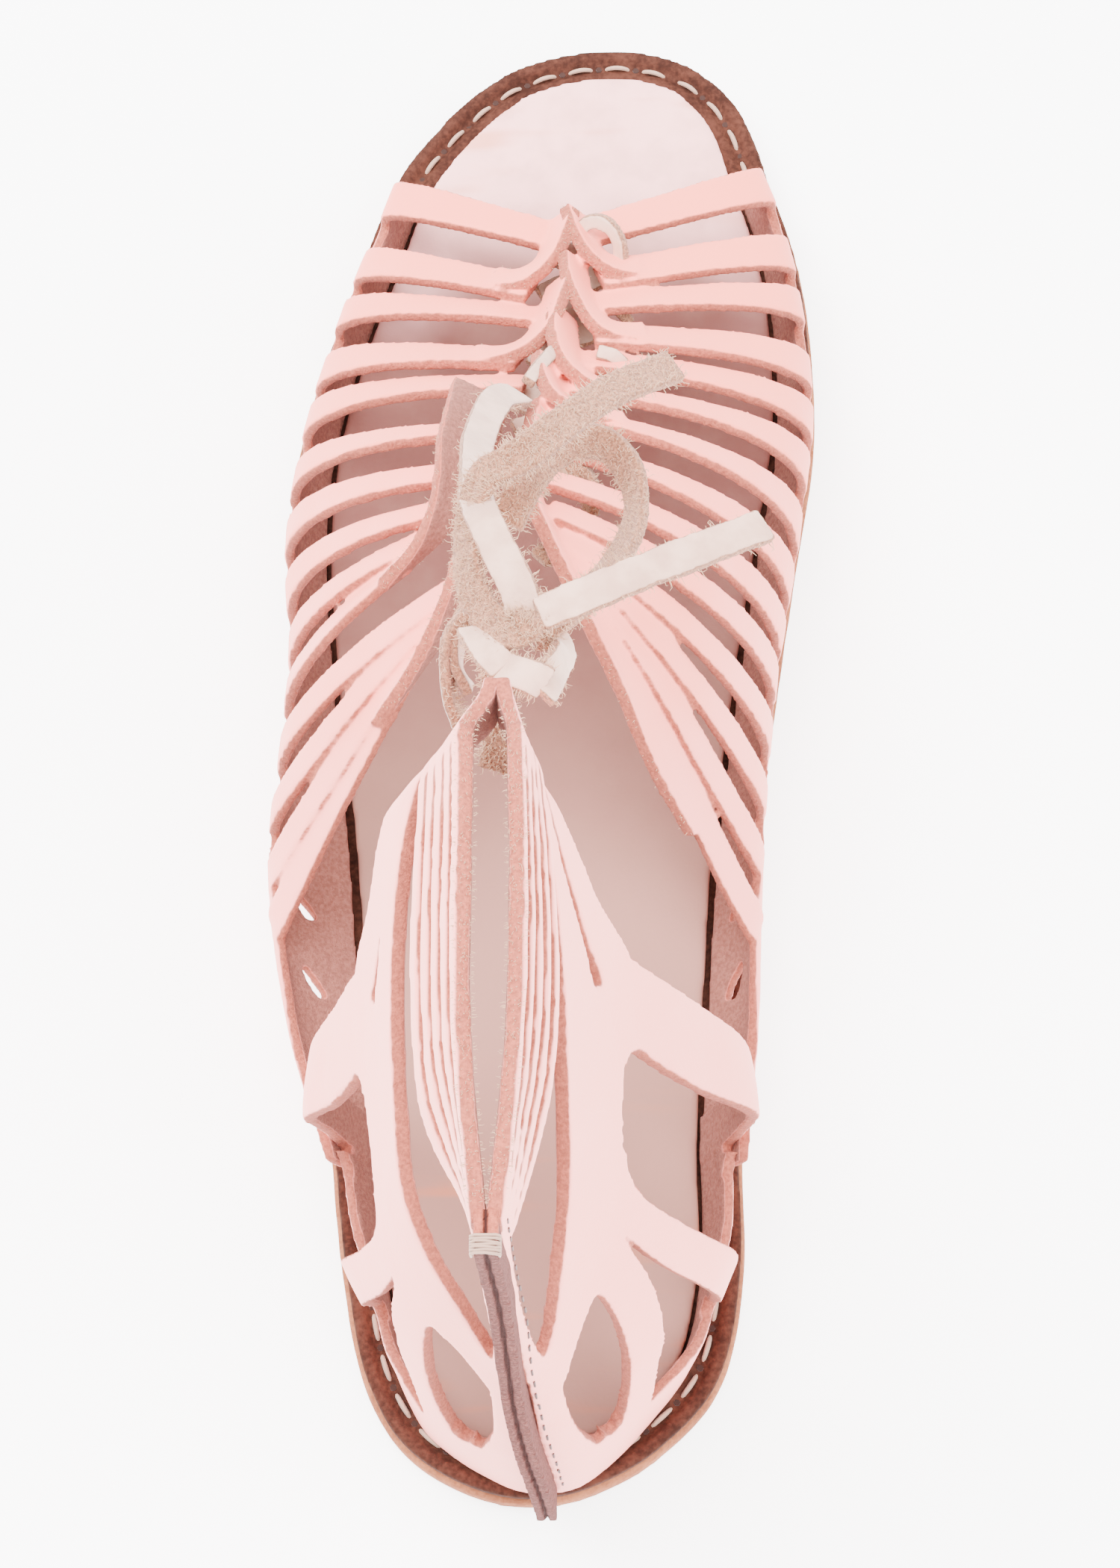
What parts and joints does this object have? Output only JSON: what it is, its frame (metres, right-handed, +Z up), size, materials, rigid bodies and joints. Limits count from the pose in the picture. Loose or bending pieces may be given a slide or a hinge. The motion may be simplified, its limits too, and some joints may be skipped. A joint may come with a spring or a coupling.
{
  "type": "caliga sandal",
  "caption": "Left-foot open sandal with a stitched leather sole and an upper cut into straps, laced over the instep and tied at the ankle.",
  "frame": {"origin": "on the floor, below the middle of the outsole's length", "axes": "+Y from heel to toe, +Z up, +X towards the inner side of the left foot"},
  "size_m": [0.0991, 0.2833, 0.1363],
  "materials": {
    "outsole_leather": "matt",
    "midsole_leather": "matt",
    "insole_leather": "smooth matt",
    "upper_leather": "smooth satin",
    "lace_leather": "rough suede on one face"
  },
  "bodies": {
    "root": {"outsole": "outsole_leather", "midsole": "midsole_leather", "insole": "insole_leather", "upper": "upper_leather", "lace_crossings": "lace_leather", "lace_knot": "lace_leather", "lace_rise": "lace_leather", "lace_tail_long": "lace_leather", "lace_tail_short": "lace_leather", "lace_loop_right": "lace_leather", "lace_loop_left": "lace_leather"}
  },
  "joints": []
}
